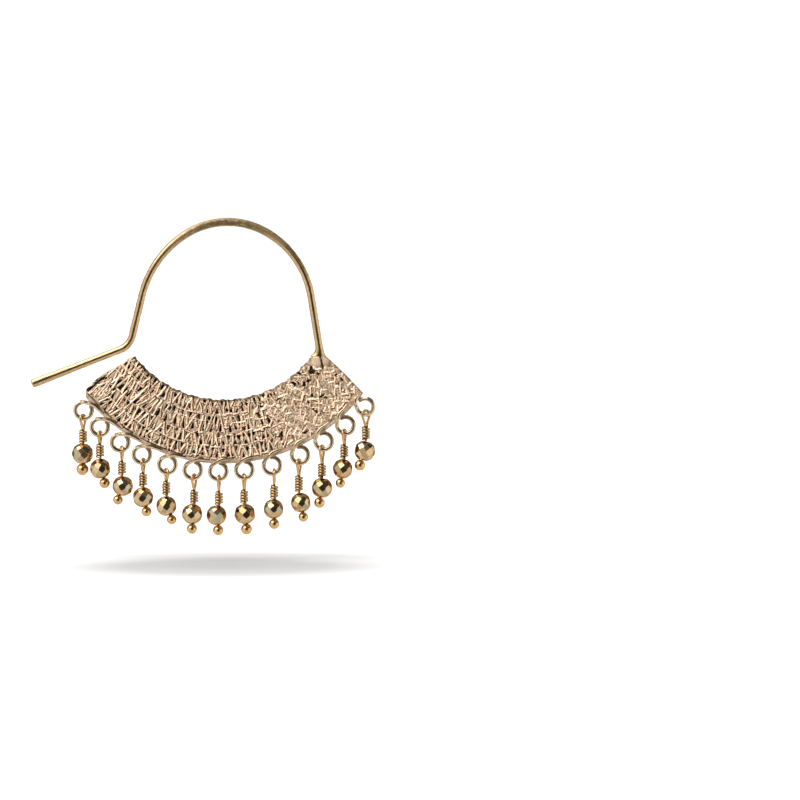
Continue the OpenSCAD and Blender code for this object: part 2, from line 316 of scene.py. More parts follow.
def plate_material():
    """Rose-tinted antique gold: bright on the ridges as a painted highlight, duller on the floors, and black
    in the pits, from patina and painted shade.
    """
    material, n = new_material("plate_metal")
    depth = n.attribute("depth")
    patch = n.noise(420, 3)
    grain = n.noise(9000, 3, 0.6)
    uneven = n.math("ADD", depth, n.remap(n.noise(1500, 2), 0.3, 0.7, -0.08, 0.08))
    tones = [
        (0.09, (1.0, 0.77, 0.57)), (0.22, (0.72, 0.53, 0.37)), (0.42, (0.46, 0.34, 0.23)),
        (0.62, (0.17, 0.12, 0.07)), (0.84, (0.014, 0.009, 0.005)),
    ]
    tone = n.ramp(uneven, tones)
    colour = n.mix(n.remap(patch, 0.35, 0.65, 0.0, 0.25), tone, (0.80, 0.52, 0.34), "MULTIPLY")
    metallic = n.ramp(uneven, [(0.1, 0.70), (0.45, 0.65), (0.9, 0.5)])
    rough = n.math("ADD", n.remap(uneven, 0.1, 0.8, 0.20, 0.50), n.remap(grain, 0.3, 0.7, -0.05, 0.05))
    normal = n.bump(grain, 0.000012, 0.5)
    n.shader(colour, metallic, rough, normal)
    return material


def wire_material(name, light, dark, roughness, streak_scale, dull_and_shade, dull_metallic):
    """Drawn wire: satin, with fine streaks and faint dents. The attribute depth blends in a darker tone,
    which is painted shade on the eyelets and head pins and a duller tone on the ear wire's arch.
    """
    material, n = new_material(name)
    streaks = n.noise(streak_scale, 4, 0.6, stretch=(1.0, 2.5, 1.0))
    patch = n.noise(500, 2)
    # The metal shines through the darker tone in small flecks.
    flecks = n.remap(n.noise(2200, 4, 0.65, stretch=(0.5, 1.0, 1.0)), 0.50, 0.66, 1.0, 0.45)
    depth = n.math("MULTIPLY", n.attribute("depth"), flecks)
    colour = n.mix(n.remap(streaks, 0.35, 0.65, 0, 1), dark, light)
    colour = n.mix(depth, colour, dull_and_shade)
    rough = n.remap(patch, 0.3, 0.7, roughness - 0.06, roughness + 0.06)
    rough = n.math("ADD", rough, n.math("MULTIPLY", depth, 0.2))
    dents = n.bump(patch, 0.00006, 0.6)
    normal = n.bump(streaks, 0.00001, 0.7, dents)
    n.shader(colour, n.remap(depth, 0, 1, 1.0, dull_metallic), rough, normal)
    return material


def bead_material():
    """Cut beads with a metallic golden-grey lustre. Each facet has its own slight tint."""
    material, n = new_material("bead_stone")
    tones = [
        (0.0, (0.58, 0.28, 0.06)), (0.28, (0.68, 0.42, 0.16)), (0.36, (0.82, 0.57, 0.29)),
        (0.55, (0.52, 0.35, 0.16)), (0.78, (0.78, 0.60, 0.36)), (1.0, (0.44, 0.41, 0.28)),
    ]
    colour = n.ramp(n.attribute("facet"), tones)
    cloud = n.noise(2600, 3, 0.6)
    colour = n.mix(n.remap(cloud, 0.4, 0.75, 0.0, 0.35), colour, (0.40, 0.27, 0.13))
    rough = n.remap(cloud, 0.3, 0.8, 0.05, 0.13)
    normal = n.bump(n.noise(5200, 2), 0.000008, 0.5)
    n.shader(colour, 1.0, rough, normal)
    return material


PLATE_METAL = plate_material()
# Name, light and dark tone, roughness, streaks in waves a metre, the darker tone (painted shade on the
# eyelets and pins), and how metallic that is
WIRES = (
    ("ear_wire_metal", (0.77, 0.53, 0.28), (0.59, 0.385, 0.185), 0.20, 2600, (0.090, 0.064, 0.027), 0.65),
    ("eyelet_metal", (1.0, 0.80, 0.55), (0.84, 0.62, 0.40), 0.13, 3500, (0.05, 0.035, 0.018), 0.95),
    ("pin_metal", (0.88, 0.58, 0.27), (0.70, 0.42, 0.16), 0.13, 4500, (0.030, 0.016, 0.007), 0.95),
)
EAR_WIRE_METAL, EYELET_METAL, PIN_METAL = [wire_material(*row) for row in WIRES]
BEAD_STONE = bead_material()


# Ear wire
def make_ear_wire():
    step, wire_r = 0.12, 0.56
    top_r, right_r, left_r, bend_r = 11.64, 13.58, 15.36, 3.0
    right_join, top_join, left_join, free_join, bend_turn = 9.0, 59.6, 122.8, 166.0, 54.75
    right_leg, left_leg, tail = 9.2, 6.15, 14.05
    arch_c = np.array([0.0, -top_r])
    right_c = arch_c - polar(right_r - top_r, top_join)
    left_c = arch_c - polar(left_r - top_r, left_join)
    right_top = right_c + polar(right_r, right_join)
    foot = right_top + polar(right_leg, right_join - 90)
    left_top = left_c + polar(left_r, free_join)
    left_end = left_top + polar(left_leg, free_join + 90)
    bend_c = left_end + polar(bend_r, free_join)
    bend_end = bend_c + polar(bend_r, free_join + 180 - bend_turn)
    tail_end = bend_end + polar(tail, free_join + 90 - bend_turn)
    path = np.array(
        joined(
            line(foot, right_top, step),
            arc(right_c, right_r, right_join, top_join, step),
            arc(arch_c, top_r, top_join, left_join, step),
            arc(left_c, left_r, left_join, free_join, step),
            line(left_top, left_end, step),
            arc(bend_c, bend_r, free_join + 180, free_join + 180 - bend_turn, step),
            line(bend_end, tail_end, step),
        )
    )
    run = distances(path)
    total = run[-1]
    arch_mid = right_leg + math.radians(top_join - right_join) * right_r
    arch_mid += math.radians(90 - top_join) * top_r
    # The wire is flatter over the arch and at the tail's end, and flares into the solder at its foot.
    hammered = np.exp(-(((run - arch_mid) / 9.0) ** 2))
    tail_flat = smoothstep(total - 9, total - 1, run)
    flare = np.clip(1 - run / 1.9, 0, 1) ** 2.3
    path[:, 0] -= 0.34 * flare
    ripple = 0.008 * np.sin(run * 1.9) + 0.006 * np.sin(run * 4.7 + 1.0)
    wide = wire_r + 0.06 * hammered + 0.08 * tail_flat + 0.72 * flare + ripple
    deep = wire_r - 0.07 * hammered - 0.03 * tail_flat + 0.12 * flare
    shape = Shape()
    shape.tube(in_plane(path), wide, deep, 28, (0.2, 0.35))
    # The front of the arch has a darker, duller tone.
    points = np.vstack(shape.points)
    arch = np.exp(-((points[:, 0] / 8.0) ** 4)) * (points[:, 2] > -10)
    front = smoothstep(0.15, 0.85, -points[:, 1] / 0.5)
    shape.finish("ear_wire", 0.97 * arch * front, EAR_WIRE_METAL, "ear_wire_metal", "hoop")


# Crescent plate
# Its ends, as radius and angle about its centre
LEFT_EDGE = [
    (16.6, -142.5), (17.6, -143.8), (18.9, -143.6), (20.2, -144.15), (22.6, -144.7),
    (24.4, -144.3), (25.3, -143.8), (25.8, -143.0), (26.2, -141.6),
]
RIGHT_EDGE = [
    (16.6, -38.3), (17.1, -36.4), (17.6, -34.7), (18.1, -33.0),
    (20.2, -33.9), (22.24, -34.8), (24.3, -35.8), (26.2, -36.6),
]
# How far the plate spans, in radians, and the angles that its relief starts and ends at, past its ends
SPAN = math.radians(105)
FIRST_DEG, LAST_DEG = -145.5, -34
# Where the relief's rows meet
RUNGS = (18.8, 19.95, 21.7, 23.6, 25.3)
ROWS_OF_BARS = ((16.75, 18.8), (18.8, 21.7), (21.7, 23.6), (23.6, 25.35))
# Pits of the melted end: radius, angle, half length along the arc, half height across it, depth
PITS = [
    (17.33, -65.4, 0.14, 0.24, 0.30), (17.46, -63.7, 0.12, 0.28, 0.32),
    (18.46, -63.4, 0.42, 0.13, 0.22), (17.70, -52.9, 0.22, 0.40, 0.40),
    (18.00, -51.1, 0.12, 0.34, 0.34), (18.74, -49.4, 0.30, 0.28, 0.38),
    (18.78, -46.9, 0.30, 0.28, 0.40), (18.10, -42.4, 0.46, 0.52, 0.46),
    (19.10, -41.6, 0.18, 0.28, 0.30), (20.80, -49.9, 0.18, 0.26, 0.30),
    (21.27, -52.9, 0.18, 0.22, 0.32), (21.83, -47.1, 0.40, 0.16, 0.34),
    (22.40, -46.4, 0.13, 0.28, 0.34), (22.50, -53.1, 0.17, 0.17, 0.28),
    (23.05, -52.6, 0.18, 0.30, 0.34), (24.74, -59.9, 0.50, 0.18, 0.24),
    (21.27, -37.0, 0.26, 0.16, 0.24), (22.40, -37.2, 0.14, 0.28, 0.24),
    (17.10, -47.6, 0.20, 0.34, 0.24), (23.50, -68.2, 0.34, 0.45, 0.16),
]


def melt_share(deg):
    """How far the plate has the shallow, melted look of its soldered end."""
    return smoothstep(-77, -62, deg)


class Strokes:
    """The raised strokes of the relief, and the narrow pits beside them.

    ridges has rows of two ends, half width and top. pits has rows of centre, direction, half length, half
    width, depth and taper, which is how much wider the pit is at its far end.
    """

    def __init__(self, seed):
        self.rng = random.Random(seed)
        self.ridges, self.pits = [], []

    def pick(self, low, high):
        return self.rng.uniform(low, high)

    def chance(self, share):
        return self.rng.random() < share

    def ridge(self, p, q, width, top):
        self.ridges.append((p, q, width, top))

    def bar(self, centre, heading, length, width, top, bend=0.0):
        """A stroke in two lengths, bent a little in the middle. heading is in degrees from +X."""
        along = polar(1, heading)
        middle = centre + polar(bend, heading + 90)
        self.ridge(centre - along * length / 2, middle, width, top * self.pick(0.78, 1.0))
        self.ridge(middle, centre + along * length / 2, width, top * self.pick(0.78, 1.0))


def along_arc(r, start, stop, spacing, strokes):
    """Angles along an arc at uneven steps of spacing millimetres, give or take a fifth."""
    deg = start
    while deg < stop:
        yield deg
        deg += math.degrees(spacing * strokes.pick(0.8, 1.2) / r)


def relief_strokes():
    s = Strokes(41)

    def at(r, deg):
        return PLATE_C + polar(r, deg)

    # Bars across each row: in pairs that lean together or apart, and all one way over the free end
    for low, high in ROWS_OF_BARS:
        middle, tall = (low + high) / 2, high - low
        side, bars = 1, []
        for deg in along_arc(middle, FIRST_DEG, LAST_DEG, 0.70, s):
            melted, free = melt_share(deg), 1 - smoothstep(-129, -117, deg)
            if s.chance(0.5 * melted):
                continue
            if s.chance(0.75 * free):
                lean = s.rng.gauss(12, 7) if s.chance(0.72) else s.rng.gauss(-15, 5)
                length = tall * s.pick(0.6, 1.2)
            else:
                lean = side * s.pick(3, 23) + s.rng.gauss(0, 5)
                length = tall * s.pick(0.55, 1.05)
            top = s.pick(0.36, 0.445) * (1 - 0.05 * melted)
            width = s.pick(0.105, 0.165)
            centre = at(middle + s.pick(-0.3, 0.3), deg)
            s.bar(centre, deg + 180 + lean, length, width, top, s.pick(-0.12, 0.12))
            bars.append((deg, lean))
            if s.chance(0.35):
                near = at(middle + s.pick(-0.5, 0.5), deg + math.degrees(s.pick(0.24, 0.34) / middle))
                heading = deg + 180 + lean + s.pick(-12, 12)
                s.bar(near, heading, length * s.pick(0.35, 0.7), 0.11, top * s.pick(0.75, 0.95))
            if s.chance(0.85):
                side = -side
        # A pit between two bars where they stand further apart, and at times a smaller one where they meet
        for (deg, lean), (next_deg, next_lean) in zip(bars, bars[1:]):
            melted = melt_share(deg)
            room = min(0.4, math.radians(next_deg - deg) * middle / 2)
            apart = math.copysign(1, next_lean - lean)
            heading = deg + 180 + (lean + next_lean) / 2
            for end, share in ((apart, 0.90), (-apart, 0.42)):
                if not s.chance(share * (1 - 0.93 * melted)):
                    continue
                r = middle + 0.23 * tall * end + s.pick(-0.2, 0.2)
                centre = at(r, (deg + next_deg) / 2 + s.pick(-0.3, 0.3))
                long = min(0.62, tall * s.pick(0.14, 0.30))
                wide = room * s.pick(0.34, 0.62) * (1 if end == apart else 0.7)
                along = polar(1, heading + s.pick(-8, 8))
                s.pits.append((centre, along, long, wide, s.pick(0.16, 0.50), -0.6 * end))
    # Rungs along the rows' edges, in short runs that don't quite line up
    for r0, share in zip(RUNGS, (0.62, 0.42, 0.62, 0.72, 0.85)):
        for deg in along_arc(r0, -145.2, LAST_DEG, 1.3, s):
            melted = melt_share(deg)
            if not s.chance(share * (1 - 0.8 * melted)):
                continue
            r = r0 + s.pick(-0.22, 0.22) * (1 + melted)
            half = math.degrees(s.pick(0.28, 0.70 - 0.2 * melted) / r)
            tilt = s.pick(-0.16, 0.16) * (1 + melted)
            width = s.pick(0.11, 0.15) + 0.02 * melted
            s.ridge(at(r, deg - half), at(r + tilt, deg + half), width, s.pick(0.34, 0.42))
    # Short thin strokes that cross the rows anywhere
    for _ in range(300):
        deg, r = s.pick(-145, -36), s.pick(16.8, 25.3)
        heading = deg + 180 + s.rng.choice([-48, -32, 30, 44, 85, 97]) + s.pick(-12, 12)
        sizes = s.pick(0.4, 1.0), s.pick(0.09, 0.13), s.pick(0.32, 0.41), s.pick(-0.08, 0.08)
        s.bar(at(r, deg), heading, *sizes)
    # Long strokes and two thin cross lines over the free end
    for deg, r, heading, length in (
        (-136.5, 19.0, 62, 5.6), (-141.0, 18.3, 70, 3.4), (-139.5, 20.6, 60, 3.2), (-133.0, 22.6, 50, 3.4),
        (-140.3, 22.9, 52, 3.0), (-128.5, 20.2, 44, 3.6), (-125.0, 23.0, 66, 2.8),
    ):
        s.bar(at(r, deg), heading, length, 0.16, 0.47, s.pick(-0.15, 0.15))
    for r in (17.4, 18.7):
        for deg in (-141.5, -136.5, -131.5):
            s.ridge(at(r, deg - 2.6), at(r + s.pick(-0.1, 0.1), deg + 2.6), 0.11, 0.40)
    # A fan of flatter strokes at the corner by the free end
    for k in range(9):
        deg = -142.6 + 0.62 * k
        s.bar(at(24.3 - 0.1 * k, deg), deg + 190 - 2.4 * k, s.pick(1.5, 2.4), 0.10, s.pick(0.36, 0.43))
    # Zigzag strokes over the melted end
    for r0 in (17.5, 18.8, 20.1, 21.4, 22.7, 24.0, 24.9):
        last, swing = None, 1
        for deg in along_arc(r0, -76, LAST_DEG, 0.74, s):
            p = at(r0 + swing * s.pick(0.15, 0.60), deg)
            if last is not None and s.chance(0.66 * melt_share(deg)):
                gap = 0.12 * (p - last)
                s.ridge(last + gap, p - gap, s.pick(0.10, 0.19), s.pick(0.35, 0.445))
            last = p
            if s.chance(0.85):
                swing = -swing
    # Thin diagonal strokes that cross over the melted end
    for _ in range(190):
        deg, r = s.pick(-72, -35.5), s.pick(16.9, 25.2)
        heading = deg + 180 + s.rng.choice([-52, -40, 38, 50]) + s.rng.gauss(0, 6)
        sizes = s.pick(0.6, 1.5), s.pick(0.085, 0.12), s.pick(0.37, 0.445), s.pick(-0.06, 0.06)
        s.bar(at(r, deg), heading, *sizes)
    # Drops of metal over the melted end
    for _ in range(50):
        deg, r = s.pick(-78, -34.5), s.pick(16.9, 25.2)
        p = at(r, deg)
        far = p + np.array([s.pick(-0.15, 0.15), s.pick(-0.15, 0.15)])
        s.ridge(p, far, s.pick(0.14, 0.24), s.pick(0.37, 0.44))
    for r, deg, size in (
        (17.55, -70.0, 0.34), (19.3, -64.7, 0.30),
        (18.0, -40.5, 0.34), (17.95, -42.6, 0.24), (22.4, -40.6, 0.30),
    ):
        s.ridge(at(r, deg), at(r + 0.1, deg + 0.4), size, 0.44)
    # Two parallel strokes along the melted end's lower rim
    for r in (24.95, 25.35):
        s.ridge(at(r, -46.8), at(r + 0.06, -44.9), 0.10, 0.42)
        s.ridge(at(r + 0.06, -44.9), at(r - 0.06, -43), 0.10, 0.42)
    return s


def off_segment(x, z, p, q):
    """How far points lie from the line between p and q, in x and in z, and how far along it, 0 to 1."""
    d = np.subtract(q, p)
    t = np.clip(((x - p[0]) * d[0] + (z - p[1]) * d[1]) / max(d @ d, 1e-9), 0, 1)
    return x - p[0] - t * d[0], z - p[1] - t * d[1], t


def relief_height(x, z, r, deg):
    """How far the front stands out at each point, in millimetres."""
    strokes = relief_strokes()
    melted = melt_share(deg)
    swell = 0.02 * np.sin(x * 2.3 + 1) * np.sin(z * 2.9) + 0.022 * np.sin(x * 5.1) * np.sin(z * 4.3 + 2)
    ripple = np.sin(x * 8.3 + 2 * np.sin(z * 3.1)) * np.sin(z * 7.7 + 1.5 * np.sin(x * 2.7))
    floor = 0.25 + 0.01 * melted + swell + 0.022 * ripple * (0.4 + 1.8 * melted)
    # The floor drops along the upper edge, where the bars run out over it.
    floor = floor - 0.10 * (1 - smoothstep(R_IN + 0.1, R_IN + 0.7, r)) * (1 - 0.6 * melted)
    height, ditch = floor.copy(), np.zeros_like(floor)
    for p, q, width, top in strokes.ridges:
        reach = 1.9 * width
        low, high = np.minimum(p, q) - reach, np.maximum(p, q) + reach
        near = np.nonzero((x > low[0]) & (x < high[0]) & (z > low[1]) & (z < high[1]))
        off_x, off_z, _ = off_segment(x[near], z[near], p, q)
        off = np.hypot(off_x, off_z)
        crest = np.clip(1 - (off / width) ** 2, 0, None)
        height[near] = np.maximum(height[near], floor[near] + (top - floor[near]) * crest)
        # A narrow ditch follows each stroke, deeper on its lower right side.
        lower_right = np.clip(0.5 + 0.7 * (off_x - off_z) / np.maximum(off, 1e-6), 0, 1)
        beside = np.exp(-(((off - 1.35 * width) / (0.36 * width)) ** 2)) * (0.15 + 0.85 * lower_right)
        ditch[near] = np.maximum(ditch[near], beside)
    ridged = height - floor
    height -= 0.18 * ditch * np.clip(1 - ridged / 0.12, 0, 1) * (1 - 0.6 * melted)
    for centre, (c, s), half_length, half_width, depth, taper in strokes.pits:
        near = np.nonzero((np.abs(x - centre[0]) < half_length) & (np.abs(z - centre[1]) < half_length))
        px, pz = x[near] - centre[0], z[near] - centre[1]
        a = (px * c + pz * s) / half_length
        b = (pz * c - px * s) / (half_width * (1 + taper * a))
        share = np.clip(1 - a**4 - b * b, 0, None) ** 0.4
        height[near] -= depth * share * np.clip(1 - ridged[near] / 0.14, 0, 1)
    return height


def soften(grid, passes):
    """Blurs a grid, more with each pass."""
    for _ in range(2 * passes):
        padded = np.pad(grid, ((1, 1), (0, 0)), mode="edge")
        grid = ((padded[:-2] + 2 * padded[1:-1] + padded[2:]) / 4).T
    return grid


def stitched(first, second):
    """Triangles between two runs of point numbers that start and end side by side."""
    faces, i, j = [], 0, 0
    n, m = len(first) - 1, len(second) - 1
    while i < n or j < m:
        if i < n and (j >= m or (i + 1) * m <= (j + 1) * n):
            faces.append([first[i], first[i + 1], second[j]])
            i += 1
        else:
            faces.append([first[i], second[j + 1], second[j]])
            j += 1
    return faces


def make_plate():
    rows, cols = 146, 636
    back_rows, back_cols = 12, 160

    def grid(n_rows, n_cols):
        v = np.linspace(0, 1, n_rows)[:, None]
        u = np.linspace(0, 1, n_cols)[None, :]
        r = R_IN + (R_OUT - R_IN) * v + 0 * u
        left, right = [np.interp(r, *zip(*table)) for table in (LEFT_EDGE, RIGHT_EDGE)]
        deg = left + (right - left) * u
        # The edges wander a little where the relief runs out over them.
        wander = 0.07 * np.sin(np.radians(deg) * 47) + 0.05 * np.sin(np.radians(deg) * 111 + 1)
        r = r - wander * (1 - v) ** 8
        x = PLATE_C[0] + r * np.cos(np.radians(deg))
        z = PLATE_C[1] + r * np.sin(np.radians(deg))
        return x, z, r, deg, u, v

    x, z, r, deg, u, _ = grid(rows, cols)
    height = relief_height(x, z, r, deg)
    # The melted end is softer, with a few deep pits.
    melted = melt_share(deg)
    softness = 0.2 * melted
    height = height * (1 - softness) + soften(height, 1) * softness
    for pit_r, pit_deg, half_w, half_h, depth in PITS:
        a = np.radians(deg - pit_deg) * r / half_w
        b = (r - pit_r) / half_h
        a, b = a + 0.3 * np.sin(3 * b + pit_deg), b + 0.2 * np.sin(3 * a + pit_r)
        height -= (depth + 0.06) * np.clip(1 - a**4 - b**4, 0, None) ** 0.5
    # The free end has a dark hollow behind its curled edge.
    from_end = u * SPAN * r
    curl = smoothstep(21.4, 22.4, r) * (1 - smoothstep(24.6, 25.2, r))
    height -= 0.36 * np.exp(-(((from_end - 0.48) / 0.19) ** 2)) * curl
    # A smooth rim runs along the lower edge. The solder of the ear wire's foot covers the corner.
    rim = smoothstep(R_OUT - 0.55, R_OUT - 0.38, r) * (1 - 0.55 * melted)
    rim_level = 0.22 + 0.11 * melted
    height = height * (1 - rim) + rim_level * rim
    # Towards the free end a groove parts the eyelets' tails from the relief.
    groove_r = 25.48
    grooved = 1 - smoothstep(-104, -96, deg)
    height -= 0.17 * np.exp(-(((r - groove_r) / 0.10) ** 2)) * grooved
    soldered, solder_edge = np.zeros_like(height), 0.24
    for cx, cz, size, top in ((13.35, -20.75, 1.05, 0.42), (14.6, -20.75, 0.75, 0.38)):
        solder = np.clip(1 - ((x - cx) ** 2 + (z - cz) ** 2) / size**2, 0, None)
        covered = smoothstep(0.0, 0.45, solder)
        level = solder_edge + (top - solder_edge) * solder**0.7
        height = height * (1 - covered) + level * covered
        soldered = np.maximum(soldered, covered)
    groove = np.zeros_like(height)
    for p, q, deep in (((13.65, -19.6), (13.95, -20.7), 0.15), ((13.95, -20.7), (14.2, -21.8), 0.26)):
        off_x, off_z, t = off_segment(x, z, p, q)
        across = np.hypot(off_x, off_z) / 0.18
        groove = np.maximum(groove, (deep + 0.08 * t) * np.clip(1 - across**2, 0, None))
    deepest = -0.30
    height = np.clip(height - groove, deepest, RELIEF_H - 0.01)
    # Round the edges off.
    u_edge = np.minimum(u, 1 - u) * SPAN * r
    inside = np.minimum(np.minimum(r - r[0], r[-1] - r), u_edge)
    drop = np.clip(1 - inside / 0.16, 0, 1)
    y = FRONT_Y - height * (1 - drop**2 * 0.85) + 0.10 * drop**2
    # The front's tone follows its height: a painted highlight on the crests, and darker floors and pits from
    # patina and painted shade. Narrow valleys, lower than the blurred height, get more painted shade.
    hollow_shade = np.clip((soften(height, 14) - height) / 0.16, 0, 1)
    depth = np.clip((0.44 - height) / 0.50, 0, 1) + 0.10 * hollow_shade
    # The melted floors, the solder and the upper edge are dull.
    depth = depth + 0.12 * melted * smoothstep(0.08, 0.3, depth) + 0.15 * soldered
    upper_edge = 0.16 * (1 - smoothstep(R_IN, R_IN + 0.5, r)) * (1 - 0.5 * melted)
    depth = np.clip(depth + upper_edge, 0, 1 - 0.22 * melted)

    bx, bz, _, bdeg, bu, bv = grid(back_rows, back_cols)
    swell = 0.03 * np.sin(np.radians(bdeg) * 13) * np.sin(math.pi * bv) * np.sin(math.pi * bu)
    by = BACK_Y - np.abs(swell)
    shape = Shape()
    front_points = np.column_stack([x.ravel(), y.ravel(), z.ravel()])
    back_points = np.column_stack([bx.ravel(), by.ravel(), bz.ravel()])
    shape.add(front_points, grid_faces(rows, cols, False))
    shape.add(back_points, grid_faces(back_rows, back_cols, False))

    def border(n_rows, n_cols, base):
        """The point numbers along a grid's four sides, one side after another round it."""
        at = np.arange(n_rows * n_cols).reshape(n_rows, n_cols) + base
        return [at[0], at[:, -1], at[-1, ::-1], at[::-1, 0]]

    front_sides = border(rows, cols, 0)
    back_sides = border(back_rows, back_cols, rows * cols)
    # A wall follows the front's outline a little way behind it, then meets the back's outline.
    front_loop = np.concatenate([side[:-1] for side in front_sides])
    wall_loop = shape.count + np.arange(len(front_loop))
    wall_points = front_points[front_loop]
    wall_points[:, 1] = BACK_Y - 0.10
    shape.add(wall_points, [])
    wall = [front_loop, np.roll(front_loop, -1), np.roll(wall_loop, -1), wall_loop]
    shape.faces += np.column_stack(wall).tolist()
    start = 0
    for front_side, back_side in zip(front_sides, back_sides):
        end = start + len(front_side) - 1
        wall_side = wall_loop[np.arange(start, end + 1) % len(wall_loop)]
        shape.faces += stitched(wall_side.tolist(), back_side.tolist())
        start = end
    dull_and_shade = np.full(shape.count, 0.35)
    dull_and_shade[: rows * cols] = depth.ravel()
    shape.finish("crescent_plate", dull_and_shade, PLATE_METAL, "plate_metal", "hoop")


# Eyelets
def eyelet_centre(row):
    return PLATE_C + polar(EYELET_ARC_R + row["rise"], row["angle"])


def make_eyelets():
    shape, dull_and_shade, sides = Shape(), [], 16
    for row in DROPS:
        arc_r = EYELET_ARC_R + row["rise"]
        centre = eyelet_centre(row)
        up = polar(1, row["angle"] + 180)
        side = polar(1, row["angle"] + 90)

        def ring_point(turn, y):
            rise, aside = polar(EYELET_R, turn)
            p = centre + side * aside + up * rise
            return [p[0], y + math.radians(row["turn"]) * aside, p[1]]

        # The wire starts behind the plate's edge, goes round and comes forward over its own start. Its
        # tapering tail then lies along the plate's lower rim: over the face in the middle, and over the edge
        # towards the free end.
        points = [ring_point(a, 0.16 - 0.34 * (a - 8) / 300) for a in range(8, 297, 12)]
        points += [ring_point(304, -0.30)]
        radii = [EYELET_WIRE_R + 0.055] * len(points)
        first_of_tail = len(points) - 1
        out = smoothstep(-0.1, 0.2, row["rise"])
        leave_rise, start_side = polar(EYELET_R, 316)
        start_r = arc_r - leave_rise
        end_r = 25.50 + 0.38 * out
        end_side = math.radians(row["tail"]) * end_r
        for share in (0.0, 0.14, 0.28, 0.44, 0.60, 0.80, 1.0):
            ease = (1 - min(1.0, share / 0.55)) ** 1.7
            at_side = start_side + (end_side - start_side) * share
            deg = row["angle"] + math.degrees(at_side / end_r)
            p = PLATE_C + polar(end_r + (start_r - end_r) * ease, deg)
            sink = 0.12 * smoothstep(0.6, 1.0, share)
            forward = (0.14 + 0.10 * (1 - out)) * smoothstep(0.0, 0.3, share)
            points.append([p[0], -0.46 - forward + sink, p[1]])
            taper = smoothstep(0.30 + 0.35 * out, 1.0, share)
            radii.append(EYELET_WIRE_R * (1.12 + 0.18 * out * smoothstep(0.1, 0.4, share) - 0.55 * taper))
        path = smooth_path(points, 0.09)
        run = distances(points)
        along = np.linspace(0, run[-1], len(path))
        widths = np.interp(along, run, radii)
        shape.tube(path, widths, 0.9 * widths, sides, (0.5, 0.9))
        # A dark line of painted shade runs along the wire's front, nearer to the ring's middle, and on the
        # tail to the plate.
        ends = len(DOME)
        middle = np.repeat(np.pad(path, ((ends, ends), (0, 0)), mode="edge"), sides, axis=0)
        tail_share = smoothstep(run[first_of_tail] - 0.6, run[first_of_tail] + 0.5, along)
        tail_share = np.repeat(np.pad(tail_share, ends, mode="edge"), sides)
        off = shape.points[-1][:-2] - middle
        flat_middle = middle[:, [0, 2]]
        outward = np.where(tail_share[:, None] < 0.5, flat_middle - centre, PLATE_C - flat_middle)
        outer = np.sum(off[:, [0, 2]] * outward, axis=1) / np.linalg.norm(outward, axis=1)
        turn = np.degrees(np.arctan2(outer, -off[:, 1]))
        dark = np.exp(-(((turn + 18 - (26 + 26 * out) * tail_share) / (24 + 8 * tail_share)) ** 2))
        dark *= 1 - 0.5 * tail_share * melt_share(row["angle"])
        dull_and_shade += [dark, np.zeros(2)]
    shape.finish("eyelets", np.concatenate(dull_and_shade), EYELET_METAL, "plate_metal", "hoop")


# Head pins
def hang_point(row):
    """Where a loop hangs on its eyelet, and how far round the ring it has slipped, in radians."""
    a, t = math.radians(row["angle"]), math.radians(row["turn"])
    out = np.array([math.cos(a), 0, math.sin(a)])
    along = np.array([-math.sin(a) * math.cos(t), math.sin(t), math.cos(a) * math.cos(t)])
    slip = row["slip"] / EYELET_R
    low = math.atan2(-along[2], -out[2]) + slip
    centre = in_plane([eyelet_centre(row)])[0]
    return centre + EYELET_R * (math.cos(low) * out + math.sin(low) * along), slip


def pin_sizes(row):
    """A drop's knee, its loop's top, and how far below the knee its bead and its ball are."""
    hang, slip = hang_point(row)
    lean = math.radians(row["lean"])
    bead_at = BEAD_H / 2 + GAP + (WRAP_R + PIN_R) * math.tan(abs(lean))
    ball_at = bead_at + BEAD_H / 2 + row["ball_d"] / 2 + GAP
    knee_z = eyelet_centre(row)[1] - row["drop"] + bead_at * math.cos(lean)
    knee = np.array([hang[0], hang[1], knee_z])
    loop_top = hang + UP * (EYELET_WIRE_R + PIN_R + HANG_GAP) / math.cos(slip)
    return knee, loop_top, bead_at, ball_at


def turned(points, lean, knee):
    """Points of the leaning pin's own frame, in the hoop's frame."""
    c, s = polar(1, -lean)
    points = np.atleast_2d(points)
    x = points[:, 0] * c + points[:, 2] * s
    z = points[:, 2] * c - points[:, 0] * s
    return np.column_stack([x, points[:, 1], z]) + knee


